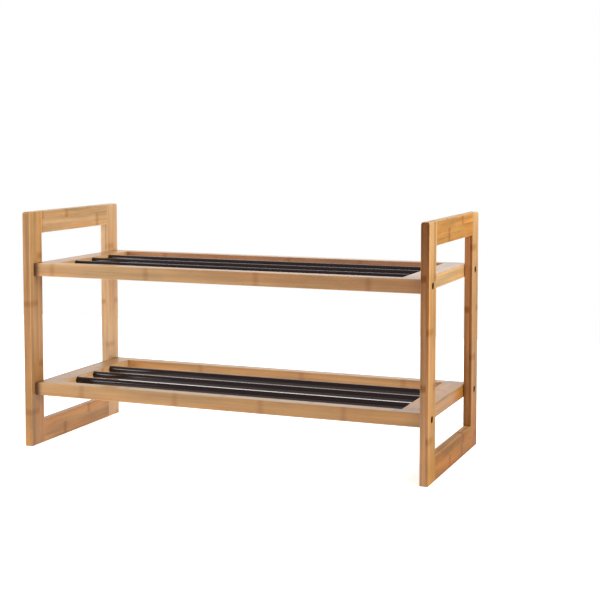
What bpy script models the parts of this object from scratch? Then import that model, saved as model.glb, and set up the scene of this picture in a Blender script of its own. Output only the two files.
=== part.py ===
"""Two-tier bamboo shoe rack.

Two upright side frames carry two open shelves. Each side frame is two stiles joined by a top rail,
which is also the handle, and a bottom rail, which stands on the floor. Each shelf is a ring of two
long rails and two end boards that holds three metal tubes. Eight bolts pass through the stiles into
threaded inserts in the ends of the long rails.

Frame of the part: X along the shelves, Y from front to back, Z up. The origin is on the floor, under
the middle of the rack. All lengths are in metres.
"""
import math

import bmesh
import bpy
from mathutils import Matrix, Vector

# Overall size.
RACK_LENGTH = 0.730
RACK_DEPTH = 0.304
RACK_HEIGHT = 0.410

# Side frames.
FRAME_THICKNESS = 0.0145
STILE_WIDTH = 0.0395
TOP_RAIL_HEIGHT = 0.0385
BOTTOM_RAIL_HEIGHT = 0.040
FRAME_CORNER_RADIUS = 0.0045
FRAME_EDGE_RADIUS = 0.0016
TENON_LENGTH = 0.022
TENON_HEIGHT = 0.024
TENON_THICKNESS = 0.0065

# Shelves. A shelf's height is that of its top face above the floor.
SHELF_HEIGHTS = {"lower": 0.112, "upper": 0.321}
SHELF_THICKNESS = 0.0225
SHELF_SETBACK = 0.011
SHELF_END_GAP = 0.0004
SHELF_RAIL_WIDTH = 0.022
END_BOARD_WIDTH = 0.0385
SHELF_EDGE_RADIUS = 0.0014
SHELF_INNER_EDGE_RADIUS = 0.0005

# Metal tubes of a shelf, front to back, measured from the rack's middle.
ROD_RADIUS = 0.006
ROD_WALL = 0.0008
ROD_PITCH = 0.0585
ROD_GROUP_OFFSET = -0.005
ROD_BELOW_SHELF_TOP = 0.001
ROD_SOCKET_DEPTH = 0.012
ROD_SOCKET_CLEARANCE = 0.00025

# Bolted joints.
BOLT_BELOW_SHELF_TOP = 0.010
BOLT_SHANK_RADIUS = 0.003
BOLT_HEAD_RADIUS = 0.005
BOLT_HEAD_HEIGHT = 0.0055
BOLT_HEAD_CHAMFER = 0.0005
BOLT_SOCKET_ACROSS_CORNERS = 0.0058
BOLT_SOCKET_DEPTH = 0.003
BOLT_TIP_CHAMFER = 0.001
BOLT_HEAD_RECESS = 0.0042
BOLT_GRIP_IN_SHELF = 0.0165
BOLT_HOLE_RADIUS = 0.0034
COUNTERBORE_RADIUS = 0.0056
INSERT_RADIUS = 0.0046
INSERT_RIB_HEIGHT = 0.0005
INSERT_BORE_RADIUS = 0.0033
INSERT_LENGTH = 0.015
INSERT_RECESS = 0.0003
INSERT_HOLE_DEPTH = 0.018
INSERT_RIBS = 2

# Dowels between end boards and long rails.
DOWEL_RADIUS = 0.004
DOWEL_LENGTH = 0.026
DOWEL_CHAMFER = 0.0008
DOWEL_FROM_SHELF_END = 0.0285

# The space left between pieces that touch.
FIT = 0.0003

# How many flat steps a round takes.
LONG_ROUND = 32
MEDIUM_ROUND = 24
SHORT_ROUND = 16
HIDDEN_ROUND = 12
HEXAGON = 6
CORNER_STEPS = 4
OUTER_EDGE_STEPS = 3
INNER_EDGE_STEPS = 2

# Helper shapes: how far a block reaches past the wood, how far a hole's cutter starts outside the
# face that it enters, and how close two places count as one.
BLOCK_REACH = 0.1
HOLE_START = -0.005
SAME_PLACE = 1e-7
CORNER_ANGLE = 1.0
OPENING_SLACK = 0.003

BAMBOO = ("bamboo", (0.62, 0.38, 0.16), 0.45, 0.0)
DARK_METAL = ("dark_metal", (0.035, 0.026, 0.024), 0.35, 0.6)
BLACK_STEEL = ("black_steel", (0.02, 0.017, 0.015), 0.4, 0.9)
BRASS = ("brass", (0.55, 0.40, 0.17), 0.35, 1.0)

SIDES = {"left": -1, "right": 1}
ENDS = {"front": -1, "back": 1}


def clear_scene():
    """Start from an empty scene."""
    for item in list(bpy.data.objects):
        bpy.data.objects.remove(item, do_unlink=True)


def material(slot):
    """The Principled material of a slot, made once."""
    name, colour, roughness, metallic = slot
    found = bpy.data.materials.get(name)
    if found:
        return found
    made = bpy.data.materials.new(name)
    made.use_nodes = True
    shader = made.node_tree.nodes["Principled BSDF"]
    shader.inputs["Base Color"].default_value = (*colour, 1.0)
    shader.inputs["Roughness"].default_value = roughness
    shader.inputs["Metallic"].default_value = metallic
    return made


def link_object(name, data, parent, location=(0, 0, 0)):
    """Put an object into the scene under its parent."""
    item = bpy.data.objects.new(name, data)
    bpy.context.scene.collection.objects.link(item)
    item.parent = parent
    item.location = location
    return item


def empty(name, location):
    """An empty that an assembly hangs on."""
    return link_object(name, None, None, location)


def finish_mesh(name, bm, smooth_angle=None):
    """Turn a bmesh into a mesh with its faces pointing out."""
    bmesh.ops.recalc_face_normals(bm, faces=bm.faces)
    mesh = bpy.data.meshes.new(name)
    bm.to_mesh(mesh)
    bm.free()
    if smooth_angle is not None:
        mesh.shade_smooth()
        mesh.set_sharp_from_angle(angle=math.radians(smooth_angle))
    return mesh


def solid(name, bm, slot, parent, location=(0, 0, 0), smooth_angle=35):
    """A visible piece of the rack."""
    item = link_object(name, finish_mesh(name, bm, smooth_angle), parent, location)
    item.data.materials.append(material(slot))
    return item


def cutter(name, bm, parent, location=(0, 0, 0)):
    """A helper shape for a Boolean, which isn't part of the rack."""
    item = link_object(name, finish_mesh(name, bm), parent, location)
    item.hide_render = True
    item.display_type = "WIRE"
    return item


def apply_boolean(item, operation, helper):
    """Add an exact Boolean with a helper shape."""
    modifier = item.modifiers.new(f"{operation.lower()}_{helper.name}", "BOOLEAN")
    modifier.operation = operation
    modifier.solver = "EXACT"
    modifier.object = helper


def add_box(bm, low, high):
    """Add a plain box between two corners."""
    low, high = Vector(low), Vector(high)
    place = Matrix.Translation((low + high) / 2) @ Matrix.Diagonal((*(high - low), 1))
    bmesh.ops.create_cube(bm, size=1.0, matrix=place)


def add_turned(bm, profile, segments, place, ring=False):
    """Add a turned solid.

    The profile runs along the turning axis as (distance, radius) points. It starts and ends on the
    axis, or, for a ring, closes on itself. The axis is local Z of the matrix.
    """
    loops = []
    for distance, radius in profile:
        if radius == 0:
            loops.append([bm.verts.new(place @ Vector((0, 0, distance)))])
            continue
        angles = [2 * math.pi * step / segments for step in range(segments)]
        loops.append(
            [bm.verts.new(place @ Vector((radius * math.cos(a), radius * math.sin(a), distance)))
             for a in angles]
        )
    pairs = list(zip(loops, loops[1:]))
    if ring:
        pairs.append((loops[-1], loops[0]))
    for first, second in pairs:
        for step in range(segments):
            after = (step + 1) % segments
            corners = [first[step % len(first)], first[after % len(first)],
                       second[after % len(second)], second[step % len(second)]]
            bm.faces.new(list(dict.fromkeys(corners)))


def along_x(x, y, z, direction):
    """A matrix whose local Z points along world X, forwards or backwards."""
    return Matrix.Translation((x, y, z)) @ Matrix.Rotation(math.radians(90) * direction, 4, "Y")


def along_y(x, y, z, direction):
    """A matrix whose local Z points along world Y, forwards or backwards."""
    return Matrix.Translation((x, y, z)) @ Matrix.Rotation(math.radians(-90) * direction, 4, "X")


def is_outline(edge, thickness):
    """Whether an edge bounds a face at the top or bottom of a ring blank."""
    level = edge.verts[0].co.z
    flat = all(abs(v.co.z - level) < SAME_PLACE for v in edge.verts)
    on_face = abs(abs(level) - thickness / 2) < SAME_PLACE
    return flat and on_face and len(edge.link_faces) == 2 and edge.calc_face_angle(0) > CORNER_ANGLE


def is_inner(edge, u_cuts, v_cuts):
    """Whether an edge is on the opening of a ring blank."""
    middle = (edge.verts[0].co + edge.verts[1].co) / 2
    return (u_cuts[1] - OPENING_SLACK < middle.x < u_cuts[2] + OPENING_SLACK
            and v_cuts[1] - OPENING_SLACK < middle.y < v_cuts[2] + OPENING_SLACK)


def bevel(bm, edges, radius, segments):
    """Round some edges of a bmesh."""
    bmesh.ops.bevel(
        bm, geom=edges, offset=radius, offset_type="OFFSET", segments=segments,
        profile=0.5, affect="EDGES", clamp_overlap=False
    )


def ring_blank(u_cuts, v_cuts, thickness, corner_radius, outer_radius, inner_radius):
    """A flat rectangular ring, glued up and rounded over as one blank.

    It lies in local XY, with its thickness along Z. The cuts give its outer and inner limits. Only
    the two outer corners at the high end of Y take the corner radius. Other corners, and all four if
    there is no such radius, are rounded like the edges.
    """
    bm = bmesh.new()
    grid = [[bm.verts.new((u, v, -thickness / 2)) for v in v_cuts] for u in u_cuts]
    for i in range(3):
        for j in range(3):
            if (i, j) != (1, 1):
                bm.faces.new((grid[i][j], grid[i + 1][j], grid[i + 1][j + 1], grid[i][j + 1]))
    top = bmesh.ops.extrude_face_region(bm, geom=bm.faces[:])["geom"]
    raised = [g for g in top if isinstance(g, bmesh.types.BMVert)]
    bmesh.ops.translate(bm, verts=raised, vec=(0, 0, thickness))
    bmesh.ops.recalc_face_normals(bm, faces=bm.faces)

    def corner_edges(v_limit):
        return [e for e in bm.edges
                if all(abs(abs(v.co.x) - u_cuts[3]) < SAME_PLACE for v in e.verts)
                and all(abs(v.co.y - v_limit) < SAME_PLACE for v in e.verts)
                and abs(e.verts[0].co.z - e.verts[1].co.z) > SAME_PLACE]

    if corner_radius:
        bevel(bm, corner_edges(v_cuts[3]), corner_radius, CORNER_STEPS)
    bevel(bm, [e for e in bm.edges if is_outline(e, thickness) and is_inner(e, u_cuts, v_cuts)],
          inner_radius, INNER_EDGE_STEPS)
    outer = [e for e in bm.edges if is_outline(e, thickness) and not is_inner(e, u_cuts, v_cuts)]
    outer += corner_edges(v_cuts[0])
    if not corner_radius:
        outer += corner_edges(v_cuts[3])
    bevel(bm, outer, outer_radius, OUTER_EDGE_STEPS)
    return bm


def bolt_place(side, end, shelf):
    """Where a bolt's axis meets the outer face of a side frame."""
    return Vector((
        SIDES[side] * RACK_LENGTH / 2,
        ENDS[end] * (RACK_DEPTH / 2 - STILE_WIDTH / 2),
        SHELF_HEIGHTS[shelf] - BOLT_BELOW_SHELF_TOP,
    ))


def build_side_frame(side):
    """Two stiles and two rails, cut from one rounded blank, with tenons and bolt holes."""
    out = SIDES[side]
    half_depth = RACK_DEPTH / 2
    opening = half_depth - STILE_WIDTH
    middle_x = out * (RACK_LENGTH - FRAME_THICKNESS) / 2
    base = empty(f"{side}_frame", (middle_x, 0, 0))

    def blank():
        bm = ring_blank(
            (-half_depth, -opening, opening, half_depth),
            (0, BOTTOM_RAIL_HEIGHT, RACK_HEIGHT - TOP_RAIL_HEIGHT, RACK_HEIGHT),
            FRAME_THICKNESS, FRAME_CORNER_RADIUS, FRAME_EDGE_RADIUS, FRAME_EDGE_RADIUS
        )
        stand_up = Matrix(((0, 0, 1, 0), (1, 0, 0, 0), (0, 1, 0, 0), (0, 0, 0, 1)))
        bmesh.ops.transform(bm, matrix=stand_up, verts=bm.verts)
        return bm

    rails = {
        "bottom": BOTTOM_RAIL_HEIGHT / 2,
        "top": RACK_HEIGHT - TOP_RAIL_HEIGHT / 2,
    }

    def add_tongue(bm, middle_z, room):
        """A bar through the opening whose two ends are the tenons of a rail, with room all round."""
        reach = opening + TENON_LENGTH + room
        half_x = TENON_THICKNESS / 2 + room
        half_z = TENON_HEIGHT / 2 + room
        add_box(bm, (-half_x, -reach, middle_z - half_z), (half_x, reach, middle_z + half_z))

    mortises = bmesh.new()
    for middle_z in rails.values():
        add_tongue(mortises, middle_z, FIT)
    mortises = cutter(f"{side}_frame_mortises", mortises, base)

    head_seat = BOLT_HEAD_RECESS + BOLT_HEAD_HEIGHT + FIT
    holes = bmesh.new()
    for shelf in SHELF_HEIGHTS:
        for end in ENDS:
            spot = bolt_place(side, end, shelf)
            beyond = FRAME_THICKNESS - HOLE_START
            profile = [(HOLE_START, 0), (HOLE_START, COUNTERBORE_RADIUS), (head_seat, COUNTERBORE_RADIUS),
                       (head_seat, BOLT_HOLE_RADIUS), (beyond, BOLT_HOLE_RADIUS), (beyond, 0)]
            add_turned(holes, profile, MEDIUM_ROUND, along_x(spot.x - middle_x, spot.y, spot.z, -out))
    holes = cutter(f"{side}_frame_bolt_holes", holes, base)

    for end, sign in (("front", -1), ("rear", 1)):
        block = bmesh.new()
        across = sorted((sign * (opening + FIT / 2), sign * (half_depth + BLOCK_REACH)))
        add_box(block, (-BLOCK_REACH, across[0], -BLOCK_REACH),
                (BLOCK_REACH, across[1], RACK_HEIGHT + BLOCK_REACH))
        block = cutter(f"{side}_frame_{end}_stile_block", block, base)
        stile = solid(f"{side}_frame_{end}_stile", blank(), BAMBOO, base)
        apply_boolean(stile, "INTERSECT", block)
        apply_boolean(stile, "DIFFERENCE", mortises)
        apply_boolean(stile, "DIFFERENCE", holes)

    for name, middle_z in rails.items():
        block = bmesh.new()
        reach = opening - FIT / 2
        outer_z = -BLOCK_REACH if name == "bottom" else RACK_HEIGHT + BLOCK_REACH
        heights = sorted((RACK_HEIGHT / 2, outer_z))
        add_box(block, (-BLOCK_REACH, -reach, heights[0]), (BLOCK_REACH, reach, heights[1]))
        block = cutter(f"{side}_frame_{name}_rail_block", block, base)
        tongue = bmesh.new()
        add_tongue(tongue, middle_z, 0)
        tongue = cutter(f"{side}_frame_{name}_rail_tongue", tongue, base)
        rail = solid(f"{side}_frame_{name}_rail", blank(), BAMBOO, base)
        apply_boolean(rail, "INTERSECT", block)
        apply_boolean(rail, "UNION", tongue)


def rod_positions():
    """Y of the three tubes, front to back."""
    return {name: ROD_GROUP_OFFSET + step * ROD_PITCH
            for name, step in (("front", -1), ("middle", 0), ("back", 1))}


def build_shelf(shelf):
    """Long rails, end boards, tubes and dowels of one shelf."""
    half_length = RACK_LENGTH / 2 - FRAME_THICKNESS - SHELF_END_GAP
    half_depth = RACK_DEPTH / 2 - SHELF_SETBACK
    inner_length = half_length - END_BOARD_WIDTH
    inner_depth = half_depth - SHELF_RAIL_WIDTH
    base = empty(f"{shelf}_shelf", (0, 0, SHELF_HEIGHTS[shelf] - SHELF_THICKNESS / 2))
    rod_z = SHELF_THICKNESS / 2 - ROD_BELOW_SHELF_TOP - ROD_RADIUS
    bolt_y = RACK_DEPTH / 2 - STILE_WIDTH / 2
    bolt_z = SHELF_THICKNESS / 2 - BOLT_BELOW_SHELF_TOP
    dowel_x = half_length - DOWEL_FROM_SHELF_END

    def blank():
        return ring_blank(
            (-half_length, -inner_length, inner_length, half_length),
            (-half_depth, -inner_depth, inner_depth, half_depth),
            SHELF_THICKNESS, 0, SHELF_EDGE_RADIUS, SHELF_INNER_EDGE_RADIUS
        )

    insert_holes = bmesh.new()
    dowel_holes = bmesh.new()
    rod_sockets = bmesh.new()
    for out in SIDES.values():
        for back in ENDS.values():
            bore = INSERT_RADIUS + INSERT_RIB_HEIGHT + FIT
            profile = [(HOLE_START, 0), (HOLE_START, bore),
                       (INSERT_HOLE_DEPTH, bore), (INSERT_HOLE_DEPTH, 0)]
            add_turned(insert_holes, profile, SHORT_ROUND,
                       along_x(out * half_length, back * bolt_y, bolt_z, -out))
            reach = DOWEL_LENGTH / 2 + FIT
            profile = [(-reach, 0), (-reach, DOWEL_RADIUS + FIT), (reach, DOWEL_RADIUS + FIT), (reach, 0)]
            add_turned(dowel_holes, profile, SHORT_ROUND,
                       along_y(out * dowel_x, back * inner_depth, 0, back))
        for y in rod_positions().values():
            bore = ROD_RADIUS + ROD_SOCKET_CLEARANCE
            profile = [(HOLE_START, 0), (HOLE_START, bore),
                       (ROD_SOCKET_DEPTH, bore), (ROD_SOCKET_DEPTH, 0)]
            place = along_x(out * inner_length, y, rod_z, out)
            add_turned(rod_sockets, profile, LONG_ROUND, place)
    insert_holes = cutter(f"{shelf}_shelf_insert_holes", insert_holes, base)
    dowel_holes = cutter(f"{shelf}_shelf_dowel_holes", dowel_holes, base)
    rod_sockets = cutter(f"{shelf}_shelf_rod_sockets", rod_sockets, base)

    for end, sign in ENDS.items():
        block = bmesh.new()
        across = sorted((sign * (inner_depth + FIT / 2), sign * (half_depth + BLOCK_REACH)))
        add_box(block, (-RACK_LENGTH, across[0], -BLOCK_REACH), (RACK_LENGTH, across[1], BLOCK_REACH))
        block = cutter(f"{shelf}_shelf_{end}_rail_block", block, base)
        rail = solid(f"{shelf}_shelf_{end}_rail", blank(), BAMBOO, base)
        apply_boolean(rail, "INTERSECT", block)
        apply_boolean(rail, "DIFFERENCE", insert_holes)
        apply_boolean(rail, "DIFFERENCE", dowel_holes)

    for side, out in SIDES.items():
        block = bmesh.new()
        reach = inner_depth - FIT / 2
        along = sorted((out * inner_length / 2, out * RACK_LENGTH))
        add_box(block, (along[0], -reach, -BLOCK_REACH), (along[1], reach, BLOCK_REACH))
        block = cutter(f"{shelf}_shelf_{side}_end_board_block", block, base)
        board = solid(f"{shelf}_shelf_{side}_end_board", blank(), BAMBOO, base)
        apply_boolean(board, "INTERSECT", block)
        apply_boolean(board, "DIFFERENCE", dowel_holes)
        apply_boolean(board, "DIFFERENCE", rod_sockets)

    half_rod = inner_length + ROD_SOCKET_DEPTH - FIT
    for name, y in rod_positions().items():
        tube = bmesh.new()
        bore = ROD_RADIUS - ROD_WALL
        profile = [(-half_rod, ROD_RADIUS), (half_rod, ROD_RADIUS), (half_rod, bore), (-half_rod, bore)]
        add_turned(tube, profile, LONG_ROUND, along_x(0, 0, 0, 1), ring=True)
        solid(f"{shelf}_shelf_{name}_rod", tube, DARK_METAL, base, (0, y, rod_z))

    for side, out in SIDES.items():
        for end, back in ENDS.items():
            peg = bmesh.new()
            half = DOWEL_LENGTH / 2
            narrow = DOWEL_RADIUS - DOWEL_CHAMFER
            profile = [(-half, 0), (-half, narrow), (DOWEL_CHAMFER - half, DOWEL_RADIUS),
                       (half - DOWEL_CHAMFER, DOWEL_RADIUS), (half, narrow), (half, 0)]
            add_turned(peg, profile, HIDDEN_ROUND, along_y(0, 0, 0, back))
            solid(f"{shelf}_{side}_{end}_dowel", peg, BAMBOO, base,
                  (out * dowel_x, back * inner_depth, 0))


def build_bolted_joint(side, end, shelf):
    """A bolt and its insert, on one axis through the stile into the shelf."""
    out = SIDES[side]
    spot = bolt_place(side, end, shelf)
    base = empty(f"{shelf}_{side}_{end}_joint", spot)
    name = f"{shelf}_{side}_{end}"
    inward = along_x(0, 0, 0, -out)
    shelf_end = FRAME_THICKNESS + SHELF_END_GAP

    head_top = BOLT_HEAD_RECESS
    head_seat = head_top + BOLT_HEAD_HEIGHT
    tip = shelf_end + BOLT_GRIP_IN_SHELF
    profile = [
        (head_top, 0), (head_top, BOLT_HEAD_RADIUS - BOLT_HEAD_CHAMFER),
        (head_top + BOLT_HEAD_CHAMFER, BOLT_HEAD_RADIUS), (head_seat, BOLT_HEAD_RADIUS),
        (head_seat, BOLT_SHANK_RADIUS), (tip - BOLT_TIP_CHAMFER, BOLT_SHANK_RADIUS),
        (tip, BOLT_SHANK_RADIUS - BOLT_TIP_CHAMFER), (tip, 0)
    ]
    bolt = bmesh.new()
    add_turned(bolt, profile, MEDIUM_ROUND, inward)
    socket = bmesh.new()
    depth = head_top + BOLT_SOCKET_DEPTH
    across = BOLT_SOCKET_ACROSS_CORNERS / 2
    profile = [(HOLE_START, 0), (HOLE_START, across), (depth, across), (depth, 0)]
    add_turned(socket, profile, HEXAGON, inward)
    socket = cutter(f"{name}_bolt_socket", socket, base)
    bolt = solid(f"{name}_bolt", bolt, BLACK_STEEL, base)
    apply_boolean(bolt, "DIFFERENCE", socket)

    insert = bmesh.new()
    start = shelf_end + INSERT_RECESS
    rib_pitch = INSERT_LENGTH / (2 * INSERT_RIBS + 1)
    profile = [(start, INSERT_BORE_RADIUS), (start, INSERT_RADIUS)]
    for rib in range(INSERT_RIBS):
        rise = start + rib_pitch * (2 * rib + 1)
        fall = rise + rib_pitch
        crest = INSERT_RADIUS + INSERT_RIB_HEIGHT
        profile += [(rise, INSERT_RADIUS), (rise, crest), (fall, crest), (fall, INSERT_RADIUS)]
    profile += [(start + INSERT_LENGTH, INSERT_RADIUS), (start + INSERT_LENGTH, INSERT_BORE_RADIUS)]
    add_turned(insert, profile, HIDDEN_ROUND, inward, ring=True)
    solid(f"{name}_insert", insert, BRASS, base)


def main():
    clear_scene()
    for side in SIDES:
        build_side_frame(side)
    for shelf in SHELF_HEIGHTS:
        build_shelf(shelf)
        for side in SIDES:
            for end in ENDS:
                build_bolted_joint(side, end, shelf)


main()
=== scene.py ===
import math

import bmesh
import bpy
from mathutils import Matrix, Vector


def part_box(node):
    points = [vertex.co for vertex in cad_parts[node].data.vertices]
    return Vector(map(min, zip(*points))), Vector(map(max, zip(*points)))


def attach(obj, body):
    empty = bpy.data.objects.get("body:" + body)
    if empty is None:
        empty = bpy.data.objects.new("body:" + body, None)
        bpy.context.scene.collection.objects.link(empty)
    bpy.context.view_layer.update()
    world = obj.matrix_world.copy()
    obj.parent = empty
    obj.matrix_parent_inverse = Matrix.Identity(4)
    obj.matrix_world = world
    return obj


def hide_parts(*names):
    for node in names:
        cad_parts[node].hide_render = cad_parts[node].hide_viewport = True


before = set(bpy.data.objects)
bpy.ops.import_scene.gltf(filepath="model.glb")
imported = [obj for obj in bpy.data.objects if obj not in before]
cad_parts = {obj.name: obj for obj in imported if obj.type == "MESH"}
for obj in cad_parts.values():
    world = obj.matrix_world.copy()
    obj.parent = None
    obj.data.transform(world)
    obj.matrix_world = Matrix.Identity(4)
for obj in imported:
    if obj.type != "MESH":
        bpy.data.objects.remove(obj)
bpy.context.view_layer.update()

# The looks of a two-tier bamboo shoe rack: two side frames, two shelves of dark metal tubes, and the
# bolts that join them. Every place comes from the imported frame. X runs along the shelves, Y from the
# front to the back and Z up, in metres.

# Rounding of the wooden members.
FRAME_CORNER_RADIUS = 0.0045
FRAME_EDGE_RADIUS = 0.0016
SHELF_EDGE_RADIUS = 0.0014
SHELF_INNER_EDGE_RADIUS = 0.0005
SEAM = 0.00006

# Joints hidden in the wood.
TENON_LENGTH = 0.022
TENON_HEIGHT = 0.024
TENON_THICKNESS = 0.0065
TENON_PLAY = 0.0002
INSERT_HOLE_DEPTH = 0.018
INSERT_HOLE_RADIUS = 0.0054
DOWEL_HOLE_PLAY = 0.0003

# Bolt holes and bolts.
BOLT_HOLE_RADIUS = 0.0034
COUNTERBORE_RADIUS = 0.0056
COUNTERBORE_DEPTH = 0.010
COUNTERBORE_CHAMFER = 0.0004
BOLT_HEAD_HEIGHT = 0.0055
BOLT_HEAD_ROUNDING = 0.0007
BOLT_HEX_ACROSS_CORNERS = 0.0058
BOLT_HEX_DEPTH = 0.003
BOLT_SHANK_RADIUS = 0.003
THREAD_DEPTH = 0.00035
THREAD_PITCH = 0.001
THREAD_LENGTH = 0.016

# Tubes of the shelves.
TUBE_WALL = 0.0008
TUBE_LIP = 0.0003
SOCKET_DEPTH = 0.012
SOCKET_PLAY = 0.0002

ROUND = 64
HOLE_ROUND = 48
CORNER_STEPS = 8
OUTER_EDGE_STEPS = 5
INNER_EDGE_STEPS = 4

# Reach of cutters past the wood, and how near two points count as one.
HOLE_START = -0.005
SOCKET_START = -0.01
BLOCK_REACH = 0.1
SAME_PLACE = 1e-7

SIDES = {"left": -1, "right": 1}
ENDS = {"front": -1, "back": 1}
SHELVES = ("lower", "upper")
RODS = ("front", "middle", "back")


# ---------------------------------------------------------------------------------------------
# Mesh helpers
# ---------------------------------------------------------------------------------------------

def centre(node):
    """The middle of a CAD node's box."""
    low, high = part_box(node)
    return (low + high) / 2


def add_object(name, mesh):
    """Link a new object whose vertices are already in place."""
    item = bpy.data.objects.new(name, mesh)
    bpy.context.scene.collection.objects.link(item)
    return item


def mesh_from(bm, name):
    """Turn a bmesh into a mesh with its faces pointing out."""
    bmesh.ops.recalc_face_normals(bm, faces=bm.faces)
    mesh = bpy.data.meshes.new(name)
    bm.to_mesh(mesh)
    bm.free()
    return mesh


def shade(mesh, angle=38):
    """Smooth shading that keeps edges sharper than an angle in degrees."""
    mesh.shade_smooth()
    mesh.set_sharp_from_angle(angle=math.radians(angle))


def cut(mesh, name, steps):
    """Apply a row of exact Booleans to a mesh, each an operation and a helper mesh."""
    item = add_object(name + "_blank", mesh)
    helpers = []
    for operation, helper_mesh in steps:
        helper = add_object(name + "_helper", helper_mesh)
        helpers.append(helper)
        modifier = item.modifiers.new(operation, "BOOLEAN")
        modifier.operation = operation
        modifier.solver = "EXACT"
        modifier.object = helper
    graph = bpy.context.evaluated_depsgraph_get()
    result = bpy.data.meshes.new_from_object(item.evaluated_get(graph), depsgraph=graph)
    for used in [item, *helpers]:
        bpy.data.objects.remove(used, do_unlink=True)
    bm = bmesh.new()
    bm.from_mesh(result)
    bmesh.ops.remove_doubles(bm, verts=bm.verts, dist=1e-6)
    bmesh.ops.dissolve_degenerate(bm, edges=bm.edges, dist=1e-6)
    bm.to_mesh(result)
    bm.free()
    return result


def box_mesh(low, high):
    """A plain box, only ever used as a cutter or a block."""
    low, high = Vector(low), Vector(high)
    bm = bmesh.new()
    place = Matrix.Translation((low + high) / 2) @ Matrix.Diagonal((*(high - low), 1))
    bmesh.ops.create_cube(bm, size=1.0, matrix=place)
    return mesh_from(bm, "block")


def add_turned(bm, profile, segments, place, ring=False):
    """Add a turned solid from (distance, radius) points along local Z of the matrix."""
    loops = []
    for distance, radius in profile:
        if radius == 0:
            loops.append([bm.verts.new(place @ Vector((0, 0, distance)))])
            continue
        angles = [2 * math.pi * step / segments for step in range(segments)]
        loops.append([
            bm.verts.new(place @ Vector((radius * math.cos(a), radius * math.sin(a), distance)))
            for a in angles
        ])
    pairs = list(zip(loops, loops[1:]))
    if ring:
        pairs.append((loops[-1], loops[0]))
    for first, second in pairs:
        for step in range(segments):
            after = (step + 1) % segments
            corners = [first[step % len(first)], first[after % len(first)],
                       second[after % len(second)], second[step % len(second)]]
            bm.faces.new(list(dict.fromkeys(corners)))


def arc(centre_point, radius, start, stop, steps):
    """Points of a circular arc in a turned profile, angles in degrees from the turning axis."""
    points = []
    for step in range(steps + 1):
        angle = math.radians(start + (stop - start) * step / steps)
        points.append((centre_point[0] + radius * math.cos(angle),
                       centre_point[1] + radius * math.sin(angle)))
    return points


def along_x(place, direction):
    """A matrix at a point whose local Z points along world X."""
    return Matrix.Translation(place) @ Matrix.Rotation(math.radians(90) * direction, 4, "Y")


def along_y(place, direction):
    """A matrix at a point whose local Z points along world Y."""
    return Matrix.Translation(place) @ Matrix.Rotation(math.radians(-90) * direction, 4, "X")


# ---------------------------------------------------------------------------------------------
# Wooden blanks
# ---------------------------------------------------------------------------------------------

def bevel(bm, edges, radius, segments):
    """Round some edges of a bmesh."""
    bmesh.ops.bevel(
        bm, geom=edges, offset=radius, offset_type="OFFSET", segments=segments,
        profile=0.5, affect="EDGES", clamp_overlap=False
    )


def ring_blank(u_cuts, v_cuts, thickness, corner_radius, outer_radius, inner_radius):
    """A flat rectangular ring in local XY, glued up and rounded over as one blank."""
    bm = bmesh.new()
    grid = [[bm.verts.new((u, v, -thickness / 2)) for v in v_cuts] for u in u_cuts]
    for i in range(3):
        for j in range(3):
            if (i, j) != (1, 1):
                bm.faces.new((grid[i][j], grid[i + 1][j], grid[i + 1][j + 1], grid[i][j + 1]))
    top = bmesh.ops.extrude_face_region(bm, geom=bm.faces[:])["geom"]
    raised = [g for g in top if isinstance(g, bmesh.types.BMVert)]
    bmesh.ops.translate(bm, verts=raised, vec=(0, 0, thickness))
    bmesh.ops.recalc_face_normals(bm, faces=bm.faces)

    def corner_edges(v_limit):
        return [e for e in bm.edges
                if all(abs(abs(v.co.x) - u_cuts[3]) < SAME_PLACE for v in e.verts)
                and all(abs(v.co.y - v_limit) < SAME_PLACE for v in e.verts)
                and abs(e.verts[0].co.z - e.verts[1].co.z) > SAME_PLACE]

    def is_outline(edge):
        level = edge.verts[0].co.z
        flat = all(abs(v.co.z - level) < SAME_PLACE for v in edge.verts)
        on_face = abs(abs(level) - thickness / 2) < SAME_PLACE
        return flat and on_face and len(edge.link_faces) == 2 and edge.calc_face_angle(0) > 1.0

    def is_inner(edge):
        middle = (edge.verts[0].co + edge.verts[1].co) / 2
        slack = 0.003
        return (u_cuts[1] - slack < middle.x < u_cuts[2] + slack
                and v_cuts[1] - slack < middle.y < v_cuts[2] + slack)

    if corner_radius:
        bevel(bm, corner_edges(v_cuts[3]), corner_radius, CORNER_STEPS)
    bevel(bm, [e for e in bm.edges if is_outline(e) and is_inner(e)], inner_radius, INNER_EDGE_STEPS)
    outer = [e for e in bm.edges if is_outline(e) and not is_inner(e)]
    outer += corner_edges(v_cuts[0])
    if not corner_radius:
        outer += corner_edges(v_cuts[3])
    bevel(bm, outer, outer_radius, OUTER_EDGE_STEPS)
    return bm


def make_piece(name, mesh, material, slot_name, *nodes):
    """A finished piece that stands for CAD nodes and rides with the rack."""
    mesh.materials.clear()
    mesh.materials.append(material)
    item = add_object(name, mesh)
    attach(item, "root")
    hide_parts(*nodes)
    return item


def weight_normals(item):
    """Keep big flat faces flat beside small rounded ones."""
    modifier = item.modifiers.new("weighted_normals", "WEIGHTED_NORMAL")
    modifier.mode = "FACE_AREA"
    modifier.keep_sharp = True
    modifier.weight = 60


# ---------------------------------------------------------------------------------------------
# Material helpers
# ---------------------------------------------------------------------------------------------

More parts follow.
